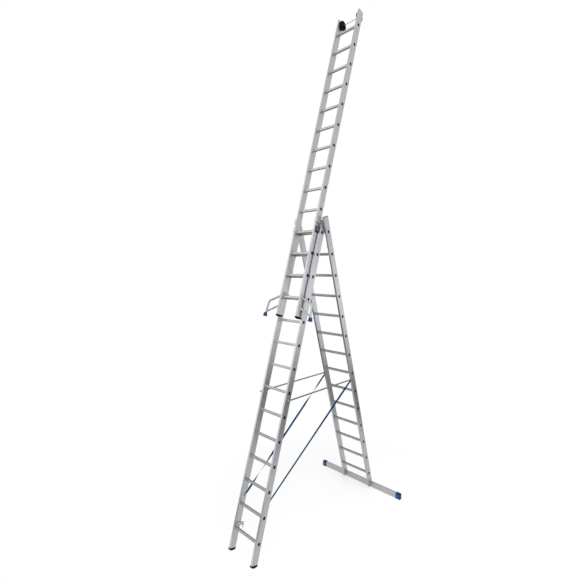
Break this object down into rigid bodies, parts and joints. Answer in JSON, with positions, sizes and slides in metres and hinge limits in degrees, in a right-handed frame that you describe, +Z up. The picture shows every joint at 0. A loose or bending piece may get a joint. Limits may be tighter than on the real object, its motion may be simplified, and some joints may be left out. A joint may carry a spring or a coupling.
{
  "type": "combination ladder",
  "caption": "Aluminium combination ladder standing as an A-frame, its nested upper section slid up past the hinge, with spreader bars, straps, ground traverse and wall wheels.",
  "frame": {"origin": "on the ground, in the middle of the box round the whole ladder", "axes": "+Z up, +X along the rungs to the right of a person climbing the front section, +Y from the front section to the rear section"},
  "size_m": [1.4, 2.4206, 6.6407],
  "materials": {
    "stile_aluminium": "satin extruded aluminium",
    "rung_aluminium": "satin fluted aluminium",
    "tube_aluminium": "satin drawn aluminium",
    "traverse_aluminium": "satin extruded aluminium",
    "black_plastic": "matt moulded",
    "dark_plastic": "matt moulded",
    "grey_plastic": "matt moulded",
    "blue_plastic": "matt moulded",
    "black_rubber": "matt",
    "wheel_rubber": "matt",
    "steel": "zinc-plated",
    "blue_webbing": "woven polyester webbing"
  },
  "bodies": {
    "front_section": {"front_stile_left": "stile_aluminium", "front_stile_right": "stile_aluminium", "front_rungs": "rung_aluminium", "front_rung_plugs": "black_plastic", "front_top_caps": "dark_plastic", "front_foot_left": "black_rubber", "front_foot_right": "black_rubber", "guide_bracket_left": "steel", "guide_bracket_right": "steel", "guide_block_left": "dark_plastic", "guide_block_right": "dark_plastic", "hinge_pins": "steel", "hinge_spacers": "dark_plastic", "bar_pivots": "steel", "strap_clamps_front": "steel", "strap_left": "blue_webbing", "strap_right": "blue_webbing", "transport_hook_pin": "steel"},
    "rear_section": {"rear_stile_left": "stile_aluminium", "rear_stile_right": "stile_aluminium", "rear_rungs": "rung_aluminium", "rear_rung_plugs": "black_plastic", "rear_top_caps": "dark_plastic", "traverse_bar": "traverse_aluminium", "traverse_cap_left": "blue_plastic", "traverse_cap_right": "blue_plastic", "bar_studs": "steel", "strap_clamps_rear": "steel"},
    "upper_section": {"upper_stile_left": "stile_aluminium", "upper_stile_right": "stile_aluminium", "upper_rungs": "rung_aluminium", "upper_rung_plugs": "black_plastic", "upper_top_caps": "grey_plastic", "upper_foot_left": "black_rubber", "upper_foot_right": "black_rubber", "wheel_axle": "steel", "rung_hook_pins": "steel", "outrigger_arm_left": "tube_aluminium", "outrigger_brace_left": "tube_aluminium", "outrigger_pad_left": "blue_plastic", "outrigger_arm_right": "tube_aluminium", "outrigger_brace_right": "tube_aluminium", "outrigger_pad_right": "blue_plastic"},
    "transport_hook": {"transport_hook": "steel"},
    "spreader_bar_left": {"spreader_bar_left": "tube_aluminium"},
    "rung_hook_left": {"rung_hook_left": "steel"},
    "wheel_left": {"wheel_left": "wheel_rubber"},
    "spreader_bar_right": {"spreader_bar_right": "tube_aluminium"},
    "rung_hook_right": {"rung_hook_right": "steel"},
    "wheel_right": {"wheel_right": "wheel_rubber"}
  },
  "joints": [
    {"name": "spread", "type": "hinge", "parent": "front_section", "child": "rear_section", "pos_m": [0, -0.00452, 3.77633], "axis": [-1, 0, 0], "range_deg": [0, 33.4], "deforming": ["strap_left", "strap_right"]},
    {"name": "upper_slide", "type": "slide", "parent": "front_section", "child": "upper_section", "axis": [0, 0.2874, 0.9578], "range_m": [-2.8, 0]},
    {"name": "spreader_bar_left_swing", "type": "hinge", "parent": "front_section", "child": "spreader_bar_left", "pos_m": [-0.2414, -0.6553, 1.7864], "axis": [1, 0, 0], "range_deg": [0, 73.3]},
    {"name": "spreader_bar_right_swing", "type": "hinge", "parent": "front_section", "child": "spreader_bar_right", "pos_m": [0.2414, -0.6553, 1.7864], "axis": [1, 0, 0], "range_deg": [0, 73.3]},
    {"name": "rung_hook_left_swing", "type": "hinge", "parent": "upper_section", "child": "rung_hook_left", "pos_m": [-0.1405, -0.33479, 2.98694], "axis": [1, 0, 0], "range_deg": [0, 60]},
    {"name": "rung_hook_right_swing", "type": "hinge", "parent": "upper_section", "child": "rung_hook_right", "pos_m": [0.1405, -0.33479, 2.98694], "axis": [1, 0, 0], "range_deg": [0, 60]},
    {"name": "transport_hook_swing", "type": "hinge", "parent": "front_section", "child": "transport_hook", "pos_m": [-0.1763, -1.08662, 0.29651], "axis": [1, 0, 0], "range_deg": [0, 60]},
    {"name": "wheel_left_spin", "type": "hinge", "parent": "upper_section", "child": "wheel_left", "pos_m": [-0.131, 0.76637, 6.57379], "axis": [1, 0, 0], "continuous": true},
    {"name": "wheel_right_spin", "type": "hinge", "parent": "upper_section", "child": "wheel_right", "pos_m": [0.131, 0.76637, 6.57379], "axis": [1, 0, 0], "continuous": true}
  ]
}
